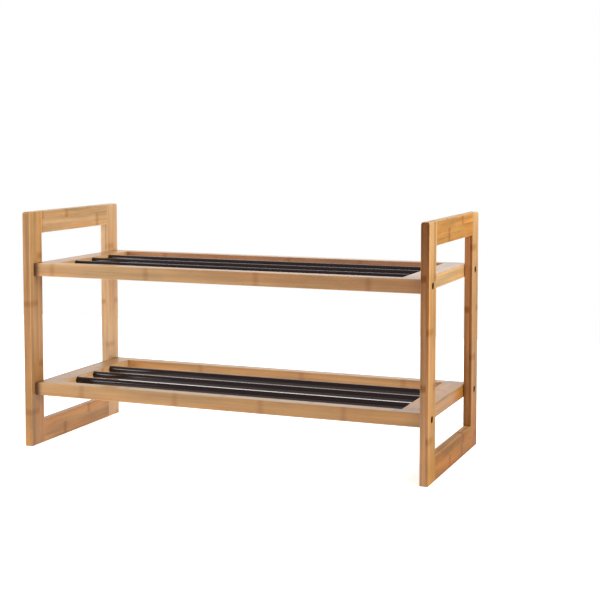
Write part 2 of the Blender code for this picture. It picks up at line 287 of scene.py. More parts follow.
class Graph:
    """Short ways to add and link shader nodes in one tree."""

    def __init__(self, tree):
        self.tree = tree

    def node(self, kind, **settings):
        made = self.tree.nodes.new(kind)
        for key, value in settings.items():
            setattr(made, key, value)
        return made

    def feed(self, socket, value):
        """Link an output to a socket, or set the socket's own value."""
        if isinstance(value, bpy.types.NodeSocket):
            self.tree.links.new(value, socket)
        else:
            socket.default_value = value

    def math(self, operation, *values, clamp=False):
        made = self.node("ShaderNodeMath", operation=operation, use_clamp=clamp)
        for socket, value in zip(made.inputs, values):
            self.feed(socket, value)
        return made.outputs[0]

    def vector(self, operation, first, second):
        made = self.node("ShaderNodeVectorMath", operation=operation)
        self.feed(made.inputs[0], first)
        self.feed(made.inputs[1], second)
        return made.outputs[0]

    def combine(self, x, y, z):
        made = self.node("ShaderNodeCombineXYZ")
        for socket, value in zip(made.inputs, (x, y, z)):
            self.feed(socket, value)
        return made.outputs[0]

    def separate(self, vector):
        made = self.node("ShaderNodeSeparateXYZ")
        self.feed(made.inputs[0], vector)
        return made.outputs

    def noise(self, vector, scale=1.0, detail=2.0, roughness=0.5, distortion=0.0):
        made = self.node("ShaderNodeTexNoise", noise_dimensions="3D")
        self.feed(made.inputs["Vector"], vector)
        for key, value in (("Scale", scale), ("Detail", detail), ("Roughness", roughness),
                           ("Distortion", distortion)):
            self.feed(made.inputs[key], value)
        return made.outputs["Fac"]

    def white(self, vector):
        made = self.node("ShaderNodeTexWhiteNoise", noise_dimensions="3D")
        self.feed(made.inputs["Vector"], vector)
        return made.outputs["Value"]

    def fade(self, value, start, stop, low=1.0, high=0.0):
        """A smooth step from low at start to high at stop."""
        made = self.node("ShaderNodeMapRange", interpolation_type="SMOOTHSTEP", clamp=True)
        for key, number in (("From Min", start), ("From Max", stop), ("To Min", low), ("To Max", high)):
            self.feed(made.inputs[key], number)
        self.feed(made.inputs["Value"], value)
        return made.outputs["Result"]

    def blend(self, amount, first, second, kind="MIX"):
        """Mix two colours."""
        made = self.node("ShaderNodeMix", data_type="RGBA", blend_type=kind)
        self.feed(made.inputs[0], amount)
        self.feed(made.inputs[6], first)
        self.feed(made.inputs[7], second)
        return made.outputs[2]

    def scaled(self, colour, factor):
        """A colour times a number."""
        made = self.node("ShaderNodeVectorMath", operation="SCALE")
        self.feed(made.inputs[0], colour)
        self.feed(made.inputs["Scale"], factor)
        return made.outputs[0]

    def bump(self, height, strength, distance):
        made = self.node("ShaderNodeBump")
        made.inputs["Strength"].default_value = strength
        made.inputs["Distance"].default_value = distance
        self.feed(made.inputs["Height"], height)
        return made.outputs[0]


def new_material(name):
    """An empty node material: its graph and its Principled shader."""
    material = bpy.data.materials.new(name)
    material.use_nodes = True
    tree = material.node_tree
    tree.nodes.clear()
    graph = Graph(tree)
    shader = graph.node("ShaderNodeBsdfPrincipled")
    output = graph.node("ShaderNodeOutputMaterial")
    tree.links.new(shader.outputs[0], output.inputs[0])
    return material, graph, shader


def object_place(graph):
    """Where a point is in the rack's own frame."""
    return graph.node("ShaderNodeTexCoord").outputs["Object"]


# ---------------------------------------------------------------------------------------------
# Bamboo
# ---------------------------------------------------------------------------------------------

STRIP = 0.0235
KNUCKLE_STEP = 0.083
HOLE_ROOM = 0.004


def bamboo_group():
    """Laminated bamboo, made once: strips and layers, fibres, pores, knuckles and painted light and
    shade.

    Place is (along, across, through) the grain in metres. Edge is the distance to the nearest
    arris. Side is 1 on the faces where the layers show. Knuckles is the distance along the grain to
    the nearest knuckle of the first strip. Sawn end is the distance to the member's low end, near which
    painted shade darkens it, and Inside is 1 in holes, whose walls get painted shade. Layer is how
    thick a layer is and Figure how bold the grain is.
    """
    tree = bpy.data.node_groups.new("laminated_bamboo", "ShaderNodeTree")
    kinds = {"Place": "NodeSocketVector", "Wood": "NodeSocketColor", "Side wood": "NodeSocketColor"}
    for name in ("Place", "Edge", "Side", "Wood", "Side wood", "Seed", "Knuckles", "Other knuckles",
                 "Sawn end", "Inside", "Layer", "Figure"):
        kind = kinds.get(name, "NodeSocketFloat")
        tree.interface.new_socket(name, in_out="INPUT", socket_type=kind)
    for name, kind in (("Colour", "NodeSocketColor"), ("Roughness", "NodeSocketFloat"),
                       ("Height", "NodeSocketFloat")):
        tree.interface.new_socket(name, in_out="OUTPUT", socket_type=kind)
    g = Graph(tree)
    given = g.node("NodeGroupInput").outputs
    result = g.node("NodeGroupOutput").inputs
    along, across, through = g.separate(given["Place"])
    seed = given["Seed"]
    thick = given["Layer"]

    layer = g.math("FLOOR", g.math("DIVIDE", through, thick))
    shifted = g.math("ADD", g.math("DIVIDE", across, STRIP), g.math("MULTIPLY", layer, 0.37))
    strip = g.math("FLOOR", shifted)
    tone = g.white(g.combine(strip, layer, seed))
    tint = g.white(g.combine(layer, g.math("ADD", strip, 17.0), seed))

    # Fibres run along the strip. Each strip has its own.
    lift = g.math("MULTIPLY", g.math("ADD", tone, seed), 7.3)
    waver = g.math("MULTIPLY", g.noise(g.combine(g.math("MULTIPLY", along, 9.0), lift, seed)), 0.0016)
    side = g.math("ADD", across, waver)
    depth = g.math("ADD", through, waver)

    def streaks(lengthwise, crosswise, detail, roughness):
        place = g.combine(
            g.math("ADD", g.math("MULTIPLY", along, lengthwise), lift),
            g.math("ADD", g.math("MULTIPLY", side, crosswise), lift),
            g.math("MULTIPLY", depth, crosswise),
        )
        return g.noise(place, detail=detail, roughness=roughness)

    broad = streaks(2.6, 85.0, 2.0, 0.5)
    fibre = streaks(8.0, 360.0, 3.0, 0.6)
    fine = streaks(22.0, 1100.0, 2.0, 0.6)
    pores = g.fade(streaks(110.0, 2100.0, 1.0, 0.5), 0.60, 0.70, 0.0, 1.0)
    cloud = g.noise(g.combine(g.math("MULTIPLY", along, 13.0), g.math("MULTIPLY", across, 34.0), lift),
                    detail=3.0, roughness=0.55)
    warmth = g.noise(g.combine(g.math("MULTIPLY", along, 6.0), g.math("MULTIPLY", side, 60.0),
                               g.math("ADD", lift, 40.0)), detail=2.0)

    # Knuckles, where the cane had its joints.
    bow = g.math("MULTIPLY", g.noise(g.combine(lift, g.math("MULTIPLY", across, 130.0), seed)), 0.004)
    first = g.math("LESS_THAN", g.math("ADD", g.math("ABSOLUTE", strip), layer), 0.5)
    near = g.math("ADD", g.math("MULTIPLY", given["Knuckles"], first),
                  g.math("MULTIPLY", given["Other knuckles"], g.math("SUBTRACT", 1.0, first)))
    distance = g.math("ABSOLUTE", g.math("ADD", g.math("SUBTRACT", near, 0.002), bow))
    ragged = g.math("ADD", 0.55, g.math("MULTIPLY", fibre, 0.9))
    scar = g.math("MULTIPLY", g.fade(distance, 0.0003, 0.0020), ragged)
    halo = g.math("MULTIPLY", g.fade(distance, 0.0022, 0.0085), ragged)

    value = g.math("ADD", 0.93, g.math("MULTIPLY", tone, 0.14))
    for pattern, amount in ((broad, 0.62), (fibre, 0.40), (fine, 0.20), (cloud, 0.36)):
        swing = g.math("MULTIPLY", g.math("SUBTRACT", pattern, 0.5), amount)
        value = g.math("ADD", value, g.math("MULTIPLY", swing, given["Figure"]))
    wood = g.blend(given["Side"], given["Wood"], given["Side wood"])
    colour = g.scaled(wood, value)
    warm = g.blend(1.0, colour, (1.08, 0.90, 0.72, 1.0), "MULTIPLY")
    rosy = g.math("ADD", g.math("MULTIPLY", tint, 0.35), g.fade(warmth, 0.40, 0.72, 0.0, 0.75))
    colour = g.blend(rosy, colour, warm)
    dark = g.blend(1.0, colour, (0.66, 0.52, 0.38, 1.0), "MULTIPLY")
    # Paler colour for the painted highlight along the arrises.
    pale = g.blend(1.0, colour, (1.22, 1.18, 1.10, 1.0), "MULTIPLY")
    halo = g.math("MULTIPLY", halo, given["Figure"])
    colour = g.blend(g.math("MULTIPLY", halo, 0.50), colour, dark)
    colour = g.blend(g.math("MULTIPLY", scar, 0.70), colour, dark)
    colour = g.blend(g.math("MULTIPLY", pores, 0.40), colour, dark)

    # Glue lines between layers and strips.
    layer_line = g.math("PINGPONG", through, g.math("MULTIPLY", thick, 0.5))
    strip_line = g.math("MULTIPLY", g.math("PINGPONG", shifted, 0.5), STRIP)
    glue = g.math("MAXIMUM", g.fade(layer_line, 0.00003, 0.00030), g.fade(strip_line, 0.00003, 0.00030))
    colour = g.blend(g.math("MULTIPLY", glue, 0.45), colour, dark)

    # Painted highlight: the arrises are painted a little paler, in patches, for the light they catch.
    patch = g.noise(g.combine(g.math("MULTIPLY", along, 60.0), lift, seed), detail=3.0)
    near_edge = g.fade(given["Edge"], 0.0002, 0.0013)
    arris_highlight = g.math("MULTIPLY", near_edge, g.fade(patch, 0.2, 0.65, 0.45, 1.0))
    colour = g.blend(g.math("MULTIPLY", arris_highlight, 0.9), colour, pale)

    # Painted shade: the long rails are painted darker by their low ends, where the left frame shades
    # them, and the walls of holes are painted dark for the shade inside them.
    end_shade_colour = g.blend(1.0, colour, (0.27, 0.15, 0.10, 1.0), "MULTIPLY")
    end_shade_mask = g.math("POWER", g.fade(given["Sawn end"], 0.0030, 0.0180, 1.0, 0.0), 2.0)
    colour = g.blend(end_shade_mask, colour, end_shade_colour)
    # Painted shade on the walls of the holes.
    hole_shade = g.blend(1.0, colour, (0.16, 0.09, 0.05, 1.0), "MULTIPLY")
    g.feed(result["Colour"], g.blend(given["Inside"], colour, hole_shade))

    rough = g.math("ADD", 0.34, g.math("MULTIPLY", fibre, 0.12))
    rough = g.math("ADD", rough, g.math("MULTIPLY", cloud, 0.08))
    rough = g.math("ADD", rough, g.math("MULTIPLY", arris_highlight, 0.06))
    g.feed(result["Roughness"], g.math("ADD", rough, g.math("MULTIPLY", pores, 0.12)))

    height = g.math("ADD", g.math("MULTIPLY", fibre, 0.5), g.math("MULTIPLY", fine, 0.5))
    height = g.math("SUBTRACT", height, g.math("MULTIPLY", pores, 0.6))
    height = g.math("ADD", height, g.math("MULTIPLY", scar, 1.2))
    g.feed(result["Height"], g.math("SUBTRACT", height, g.math("MULTIPLY", glue, 0.5)))
    return tree


BAMBOO = bamboo_group()
AXES = {"x": 0, "y": 1, "z": 2}


def nearest(graph, value, places):
    """How far a value is from the nearest of some places."""
    distance = 1.0
    for place in places:
        away = graph.math("ABSOLUTE", graph.math("SUBTRACT", value, place))
        distance = graph.math("MINIMUM", away, distance)
    return distance


def bamboo(name, member, seed):
    """Bamboo for one wooden member."""
    low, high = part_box(member.node)
    through = AXES[member.face[1]]
    along = AXES[member.grain]
    across = 3 - through - along
    material, g, shader = new_material(name)
    place = g.separate(object_place(g))
    a = g.math("SUBTRACT", place[along], low[along])
    b = g.math("SUBTRACT", place[across], low[across])
    if member.face[0] == "+":
        c = g.math("SUBTRACT", high[through], place[through])
    else:
        c = g.math("SUBTRACT", place[through], low[through])
    width, thickness = high[across] - low[across], high[through] - low[through]
    across_room = g.math("MINIMUM", b, g.math("SUBTRACT", width, b))
    through_room = g.math("MINIMUM", c, g.math("SUBTRACT", thickness, c))
    length = high[along] - low[along]
    end_room = g.math("MINIMUM", a, g.math("SUBTRACT", length, a))
    less = g.math("MINIMUM", across_room, through_room)
    more = g.math("MAXIMUM", across_room, through_room)
    smallest = g.math("MINIMUM", less, end_room)
    second = g.math("MAXIMUM", less, g.math("MINIMUM", more, end_room))
    under_face = g.fade(smallest, 0.0001, 0.0004, 0.0, 1.0)
    inside = g.math("MULTIPLY", under_face, g.math("GREATER_THAN", second, HOLE_ROOM))
    other_places = [(knuckle + KNUCKLE_STEP) % length for knuckle in member.knuckles]
    group = g.node("ShaderNodeGroup")
    group.node_tree = BAMBOO
    # Colours from the low end to the high end; the change is partly the wood's own tone and partly
    # painted light and shade.
    low_wood, high_wood = member.wood
    wood = g.blend(g.math("DIVIDE", a, length), (*low_wood, 1.0), (*high_wood, 1.0))
    low_side, high_side = member.side or member.wood
    side_wood = g.blend(g.math("DIVIDE", a, length), (*low_side, 1.0), (*high_side, 1.0))
    settings = {
        "Place": g.combine(a, b, c),
        "Edge": more,
        "Side": g.math("LESS_THAN", across_room, through_room),
        "Wood": wood,
        "Side wood": side_wood,
        "Seed": float(seed),
        "Knuckles": nearest(g, a, member.knuckles),
        "Other knuckles": nearest(g, a, other_places),
        # Only the long rails are painted darker by their low ends, as painted shade.
        "Sawn end": a if member.grain == "x" else 1.0,
        "Inside": inside if member.hole_shade else 0.0,
        "Layer": member.layer,
        "Figure": member.figure
    }
    for key, value in settings.items():
        g.feed(group.inputs[key], value)
    g.feed(shader.inputs["Base Color"], group.outputs["Colour"])
    g.feed(shader.inputs["Roughness"], group.outputs["Roughness"])
    g.feed(shader.inputs["Normal"], g.bump(group.outputs["Height"], 0.25, 0.0002))
    shader.inputs["IOR"].default_value = 1.5
    shader.inputs["Specular IOR Level"].default_value = 0.5 * member.gloss
    shader.inputs["Coat Weight"].default_value = 0.3 * member.gloss
    shader.inputs["Coat Roughness"].default_value = 0.22
    return material


# ---------------------------------------------------------------------------------------------
# Metal and dowel wood
# ---------------------------------------------------------------------------------------------

def coated_metal(name, colour, roughness, seed):
    """Dark powder coat: fine orange peel, dusty patches and faint rub marks along the tube."""
    material, g, shader = new_material(name)
    place = object_place(g)
    spot = g.vector("ADD", place, (seed, seed * 0.7, seed * 1.3))
    peel = g.noise(spot, scale=900.0, detail=2.0)
    dust = g.noise(spot, scale=26.0, detail=4.0, roughness=0.6)
    rub = g.noise(g.vector("MULTIPLY", spot, (6.0, 420.0, 420.0)), scale=1.0, detail=2.0)
    value = g.math("ADD", 0.82, g.math("MULTIPLY", dust, 0.36))
    base = g.scaled(colour, value)
    lighter = g.blend(1.0, base, (1.7, 1.6, 1.55, 1.0), "MULTIPLY")
    g.feed(shader.inputs["Base Color"], g.blend(g.fade(rub, 0.56, 0.75, 0.0, 0.5), base, lighter))
    rough = g.math("ADD", roughness, g.math("MULTIPLY", g.math("SUBTRACT", dust, 0.5), 0.16))
    g.feed(shader.inputs["Roughness"], g.math("ADD", rough, g.math("MULTIPLY", rub, 0.05)))
    g.feed(shader.inputs["Normal"], g.bump(peel, 0.05, 0.0001))
    shader.inputs["IOR"].default_value = 1.36
    return material


def bare_metal(name, colour, roughness, scale):
    """Machined metal with tarnish and fine tool marks."""
    material, g, shader = new_material(name)
    place = object_place(g)
    stain = g.noise(place, scale=scale, detail=4.0, roughness=0.6)
    marks = g.noise(g.vector("MULTIPLY", place, (2600.0, 500.0, 500.0)), scale=1.0, detail=1.0)
    g.feed(shader.inputs["Base Color"],
           g.scaled(colour, g.math("ADD", 0.7, g.math("MULTIPLY", stain, 0.6))))
    g.feed(shader.inputs["Roughness"], g.math("ADD", roughness, g.math("MULTIPLY", stain, 0.2)))
    g.feed(shader.inputs["Normal"], g.bump(marks, 0.15, 0.00005))
    shader.inputs["Metallic"].default_value = 1.0
    return material


def beech(name, colour):
    """Dowel wood: straight grain with small dark flecks."""
    material, g, shader = new_material(name)
    place = object_place(g)
    grain = g.noise(g.vector("MULTIPLY", place, (900.0, 60.0, 900.0)), scale=1.0, detail=3.0)
    specks = g.noise(g.vector("MULTIPLY", place, (2400.0, 320.0, 2400.0)), scale=1.0)
    fleck = g.fade(specks, 0.6, 0.7, 0.0, 1.0)
    base = g.scaled(colour, g.math("ADD", 0.78, g.math("MULTIPLY", grain, 0.44)))
    darker = g.blend(1.0, base, (0.6, 0.5, 0.42, 1.0), "MULTIPLY")
    g.feed(shader.inputs["Base Color"], g.blend(fleck, base, darker))
    g.feed(shader.inputs["Roughness"], g.math("ADD", 0.5, g.math("MULTIPLY", grain, 0.2)))
    g.feed(shader.inputs["Normal"], g.bump(grain, 0.3, 0.0001))
    return material


# ---------------------------------------------------------------------------------------------
# Pieces
# ---------------------------------------------------------------------------------------------

def build_side_frame(side):
    """Stiles and rails of one side frame, cut from a rounded ring, with mortises and bolt holes."""
    out = SIDES[side]
    front_low, front_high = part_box(f"{side}_frame_front_stile")
    rear_low, rear_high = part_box(f"{side}_frame_rear_stile")
    top_low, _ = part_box(f"{side}_frame_top_rail")
    _, bottom_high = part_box(f"{side}_frame_bottom_rail")
    thickness = front_high.x - front_low.x
    middle_x = (front_high.x + front_low.x) / 2
    height = front_high.z
    opening = (front_high.y - rear_low.y) / -2
    half_depth = rear_high.y

    def blank():
        bm = ring_blank(
            (-half_depth, -opening, opening, half_depth), (0, bottom_high.z, top_low.z, height),
            thickness, FRAME_CORNER_RADIUS, FRAME_EDGE_RADIUS, FRAME_EDGE_RADIUS
        )
        stand_up = Matrix(((0, 0, 1, middle_x), (1, 0, 0, 0), (0, 1, 0, 0), (0, 0, 0, 1)))
        bmesh.ops.transform(bm, matrix=stand_up, verts=bm.verts)
        return mesh_from(bm, "blank")

    rail_levels = {"bottom": bottom_high.z / 2, "top": (top_low.z + height) / 2}

    def tongue_box(level, slack):
        reach = opening + TENON_LENGTH + slack
        half_x, half_z = TENON_THICKNESS / 2 + slack, TENON_HEIGHT / 2 + slack
        return box_mesh((middle_x - half_x, -reach, level - half_z),
                        (middle_x + half_x, reach, level + half_z))

    def bolt_holes(end):
        bm = bmesh.new()
        seat = COUNTERBORE_DEPTH
        mouth = COUNTERBORE_RADIUS + COUNTERBORE_CHAMFER
        for shelf in SHELVES:
            spot = centre(f"{shelf}_{side}_{end}_bolt")
            place = along_x((out * abs(front_low.x if out < 0 else front_high.x), spot.y, spot.z), -out)
            profile = [(HOLE_START, 0), (HOLE_START, mouth), (0, mouth),
                       (COUNTERBORE_CHAMFER, COUNTERBORE_RADIUS),
                       (seat, COUNTERBORE_RADIUS), (seat, BOLT_HOLE_RADIUS),
                       (thickness - HOLE_START, BOLT_HOLE_RADIUS), (thickness - HOLE_START, 0)]
            add_turned(bm, profile, HOLE_ROUND, place)
        return mesh_from(bm, "bolt_holes")

    far = BLOCK_REACH
    for end, word, sign in (("front", "front", -1), ("back", "rear", 1)):
        across = sorted((sign * (opening + SEAM / 2), sign * (half_depth + far)))
        block = box_mesh((middle_x - far, across[0], -far), (middle_x + far, across[1], height + far))
        steps = [("INTERSECT", block), ("DIFFERENCE", bolt_holes(end))]
        steps += [("DIFFERENCE", tongue_box(level, TENON_PLAY)) for level in rail_levels.values()]
        name = f"{side}_{word}_stile"
        mesh = cut(blank(), name, steps)
        shade(mesh)
        item = make_piece(name, mesh, WOODS[name], "bamboo", f"{side}_frame_{word}_stile")
        weight_normals(item)

    for rail, level in rail_levels.items():
        reach = opening - SEAM / 2
        heights = (-far, height / 2) if rail == "bottom" else (height / 2, height + far)
        block = box_mesh((middle_x - far, -reach, heights[0]), (middle_x + far, reach, heights[1]))
        name = f"{side}_{rail}_rail"
        mesh = cut(blank(), name, [("INTERSECT", block), ("UNION", tongue_box(level, 0))])
        shade(mesh)
        item = make_piece(name, mesh, WOODS[name], "bamboo", f"{side}_frame_{rail}_rail")
        weight_normals(item)


def build_shelf_wood(shelf):
    """Long rails and end boards of one shelf, cut from a rounded ring, with their holes."""
    low, front_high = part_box(f"{shelf}_shelf_front_rail")
    back_low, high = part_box(f"{shelf}_shelf_back_rail")
    _, left_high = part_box(f"{shelf}_shelf_left_end_board")
    half_length, half_depth = high.x, high.y
    inner_length = -left_high.x
    inner_depth = (back_low.y - front_high.y) / 2
    level = (low.z + high.z) / 2

    def blank():
        bm = ring_blank(
            (-half_length, -inner_length, inner_length, half_length),
            (-half_depth, -inner_depth, inner_depth, half_depth),
            high.z - low.z, 0, SHELF_EDGE_RADIUS, SHELF_INNER_EDGE_RADIUS
        )
        bmesh.ops.translate(bm, verts=bm.verts, vec=(0, 0, level))
        return mesh_from(bm, "blank")

    def turned_holes(places, profile, segments):
        bm = bmesh.new()
        for place in places:
            add_turned(bm, profile, segments, place)
        return mesh_from(bm, "holes")

    def insert_holes():
        places = []
        for side, out in SIDES.items():
            for end in ENDS:
                spot = centre(f"{shelf}_{side}_{end}_insert")
                places.append(along_x((out * half_length, spot.y, spot.z), -out))
        profile = [(HOLE_START, 0), (HOLE_START, INSERT_HOLE_RADIUS),
                   (INSERT_HOLE_DEPTH, INSERT_HOLE_RADIUS), (INSERT_HOLE_DEPTH, 0)]
        return turned_holes(places, profile, HOLE_ROUND)

    def dowel_holes():
        places = []
        for side in SIDES:
            for end, back in ENDS.items():
                places.append(along_y(centre(f"{shelf}_{side}_{end}_dowel"), back))
        peg_low, peg_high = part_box(f"{shelf}_left_front_dowel")
        reach = (peg_high.y - peg_low.y) / 2 + DOWEL_HOLE_PLAY
        radius = (peg_high.x - peg_low.x) / 2 + DOWEL_HOLE_PLAY
        profile = [(-reach, 0), (-reach, radius), (reach, radius), (reach, 0)]
        return turned_holes(places, profile, HOLE_ROUND)

    def rod_sockets():
        places = []
        for rod in RODS:
            spot = centre(f"{shelf}_shelf_{rod}_rod")
            for out in SIDES.values():
                places.append(along_x((out * inner_length, spot.y, spot.z), out))
        rod_low, rod_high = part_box(f"{shelf}_shelf_front_rod")
        radius = (rod_high.z - rod_low.z) / 2 + SOCKET_PLAY
        profile = [(SOCKET_START, 0), (SOCKET_START, radius), (SOCKET_DEPTH, radius), (SOCKET_DEPTH, 0)]
        return turned_holes(places, profile, ROUND)

    far = BLOCK_REACH
    for end, sign in ENDS.items():
        across = sorted((sign * (inner_depth + SEAM / 2), sign * (half_depth + far)))
        block = box_mesh((-half_length - far, across[0], level - far),
                         (half_length + far, across[1], level + far))
        name = f"{shelf}_{end}_rail"
        steps = [("INTERSECT", block), ("DIFFERENCE", insert_holes()), ("DIFFERENCE", dowel_holes())]
        mesh = cut(blank(), name, steps)
        shade(mesh)
        item = make_piece(name, mesh, WOODS[name], "bamboo", f"{shelf}_shelf_{end}_rail")
        weight_normals(item)

    for side, out in SIDES.items():
        reach = inner_depth - SEAM / 2
        along = sorted((out * inner_length / 2, out * (half_length + far)))
        block = box_mesh((along[0], -reach, level - far), (along[1], reach, level + far))
        name = f"{shelf}_{side}_end_board"
        steps = [("INTERSECT", block), ("DIFFERENCE", dowel_holes()), ("DIFFERENCE", rod_sockets())]
        mesh = cut(blank(), name, steps)
        shade(mesh)
        item = make_piece(name, mesh, WOODS[name], "bamboo", f"{shelf}_shelf_{side}_end_board")
        weight_normals(item)


def build_rod(shelf, rod, material):
    """A coated tube whose ends sit in the end boards."""
    node = f"{shelf}_shelf_{rod}_rod"
    low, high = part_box(node)
    radius = (high.z - low.z) / 2
    bore = radius - TUBE_WALL
    half = (high.x - low.x) / 2
    outer = arc((half - TUBE_LIP, radius - TUBE_LIP), TUBE_LIP, 90, 0, 4)
    inner = [(half, bore + TUBE_LIP / 2), (half - TUBE_LIP / 2, bore)]
    right = outer + inner
    left = [(-distance, r) for distance, r in reversed(right)]
    bm = bmesh.new()
    add_turned(bm, right + left, ROUND, along_x((low + high) / 2, 1), ring=True)
    mesh = mesh_from(bm, node)
    shade(mesh, 30)
    item = make_piece(f"{shelf}_{rod}_tube", mesh, material, "dark_metal", node)
    return item


def build_bolt(shelf, side, end, material):
    """A socket-head bolt with a rounded head, a hexagon socket and a threaded end."""
    node = f"{shelf}_{side}_{end}_bolt"
    low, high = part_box(node)
    out = SIDES[side]
    radius = (high.z - low.z) / 2
    length = high.x - low.x
    face = Vector((low.x if out < 0 else high.x, (low.y + high.y) / 2, (low.z + high.z) / 2))
    place = along_x(face, -out)
    rounding = BOLT_HEAD_ROUNDING
    rim = arc((rounding, radius - rounding), rounding, 180, 90, 5)
    profile = [(0, 0), *rim, (BOLT_HEAD_HEIGHT - 0.0002, radius), (BOLT_HEAD_HEIGHT, radius - 0.0002),
               (BOLT_HEAD_HEIGHT, BOLT_SHANK_RADIUS)]
    start = length - THREAD_LENGTH
    root = BOLT_SHANK_RADIUS - THREAD_DEPTH
    profile.append((start - THREAD_PITCH, BOLT_SHANK_RADIUS))
    for turn in range(int(THREAD_LENGTH / THREAD_PITCH) - 1):
        base = start + turn * THREAD_PITCH
        profile += [(base, root), (base + THREAD_PITCH / 2, BOLT_SHANK_RADIUS)]
    profile += [(length - THREAD_PITCH, root), (length, root - THREAD_PITCH / 2), (length, 0)]
    bm = bmesh.new()
    add_turned(bm, profile, HOLE_ROUND, place)
    socket = bmesh.new()
    across = BOLT_HEX_ACROSS_CORNERS / 2
    hexagon = [(-0.002, 0), (-0.002, across), (BOLT_HEX_DEPTH, across), (BOLT_HEX_DEPTH + 0.0006, 0)]
    add_turned(socket, hexagon, 6, place)
    mesh = cut(mesh_from(bm, node), node, [("DIFFERENCE", mesh_from(socket, "hexagon"))])
    shade(mesh, 30)
    return make_piece(f"{shelf}_{side}_{end}_socket_bolt", mesh, material, "black_steel", node)


# ---------------------------------------------------------------------------------------------
# Tones of the wooden members, partly painted light and shade
# ---------------------------------------------------------------------------------------------

class Member:
    """How the bamboo of one wooden member looks.

    The grain runs along one axis. face is the axis through the layers, with + or - for the face where
    the first layer lies. wood is the colour of that face, from the member's low end to its high end,
    and side that of the faces where the layers show; both were tuned to the light on the member, so
    their change along it and between its faces is partly the wood's own tone and partly painted light
    and shade. Knuckles are distances from the low end. A member's holes may be painted dark inside, as
    painted shade. Figure is how bold the grain is.
    """

    def __init__(self, node, grain, face, wood, knuckles, side=None, gloss=1.0, layer=0.0049,
                 hole_shade=True, figure=1.3):
        self.node = node
        self.grain = grain
        self.face = face
        self.wood = wood
        self.knuckles = knuckles
        self.side = side
        self.gloss = gloss
        self.layer = layer
        self.hole_shade = hole_shade
        self.figure = figure


# These colours were tuned to the light on each member, so their change along a member and between its
# faces is partly painted light and shade. PALE is the colour of the top and bottom faces where it is
# used.
PALE = (0.415, 0.247, 0.106)
MEMBERS = {
    "left_front_stile": Member(
        "left_frame_front_stile", "z", "+x",
        ((0.265, 0.143, 0.058), (0.445, 0.275, 0.122)), (0.06, 0.25),
        figure=1.8, side=((0.35, 0.18, 0.057), (0.375, 0.206, 0.078)), gloss=0.5,
        layer=0.0300
    ),
    "left_rear_stile": Member(
        "left_frame_rear_stile", "z", "+x",
        ((0.48, 0.31, 0.165), (0.50, 0.345, 0.20)), (0.14, 0.33), gloss=0.5
    ),
    "left_top_rail": Member(
        "left_frame_top_rail", "y", "+x", ((0.49, 0.33, 0.176), (0.49, 0.33, 0.176)), (0.02, 0.21),
        figure=1.6, gloss=0.5, hole_shade=False
    ),
    "left_bottom_rail": Member(
        "left_frame_bottom_rail", "y", "+x", ((0.365, 0.200, 0.074), (0.365, 0.200, 0.074)), (0.09,),
        figure=2.0, gloss=0.5, hole_shade=False
    ),
    "right_front_stile": Member(
        "right_frame_front_stile", "z", "+x",
        ((0.31, 0.160, 0.028), (0.53, 0.355, 0.175)), (0.07, 0.24),
        figure=1.8, side=((0.34, 0.192, 0.100), (0.15, 0.060, 0.020)), gloss=0.06
    ),
    "right_rear_stile": Member(
        "right_frame_rear_stile", "z", "+x",
        ((0.20, 0.082, 0.018), (0.525, 0.375, 0.205)), (0.16, 0.35),
        figure=1.8, side=((0.19, 0.085, 0.030), (0.36, 0.158, 0.060)), gloss=0.06
    ),
    "right_top_rail": Member(
        "right_frame_top_rail", "y", "+x", ((0.52, 0.286, 0.091), (0.52, 0.286, 0.091)), (0.095,),
        figure=1.9, gloss=0.2, hole_shade=False
    ),
    "right_bottom_rail": Member(
        "right_frame_bottom_rail", "y", "+x",
        ((0.272, 0.125, 0.024), (0.272, 0.125, 0.024)), (0.11, 0.185),
        figure=2.0, side=(PALE, PALE), gloss=0.06, hole_shade=False
    ),
    "upper_front_rail": Member(
        "upper_shelf_front_rail", "x", "-y", ((0.42, 0.260, 0.106), (0.335, 0.172, 0.060)),
        (0.037, 0.219, 0.420, 0.613)
    ),
    "upper_back_rail": Member(
        "upper_shelf_back_rail", "x", "-y",
        ((0.315, 0.160, 0.062), (0.32, 0.128, 0.044)), (0.120, 0.372, 0.508), side=(PALE, PALE)
    ),
    "upper_left_end_board": Member("upper_shelf_left_end_board", "y", "+z", (PALE, PALE), (0.15,)),
    "upper_right_end_board": Member(
        "upper_shelf_right_end_board", "y", "+z", (PALE, PALE), (0.20,),
        side=((0.488, 0.317, 0.142), (0.488, 0.317, 0.142))
    ),
    "lower_front_rail": Member(
        "lower_shelf_front_rail", "x", "-y", ((0.35, 0.210, 0.071), (0.318, 0.176, 0.048)),
        (0.093, 0.272, 0.428, 0.572)
    ),
    "lower_back_rail": Member(
        "lower_shelf_back_rail", "x", "-y", ((0.46, 0.260, 0.082), (0.41, 0.225, 0.070)),
        (0.020, 0.193, 0.397, 0.590), side=(PALE, PALE)
    ),
    "lower_left_end_board": Member("lower_shelf_left_end_board", "y", "+z", (PALE, PALE), (0.06,)),
    "lower_right_end_board": Member(
        "lower_shelf_right_end_board", "y", "+z", (PALE, PALE), (0.17,),
        side=((0.285, 0.125, 0.015), (0.285, 0.125, 0.015)), gloss=0.5,
        layer=0.0112
    ),
}
WOODS = {
    piece: bamboo(f"bamboo_{piece}", member, seed)
    for seed, (piece, member) in enumerate(MEMBERS.items(), start=1)
}


# ---------------------------------------------------------------------------------------------
# Studio
# ---------------------------------------------------------------------------------------------

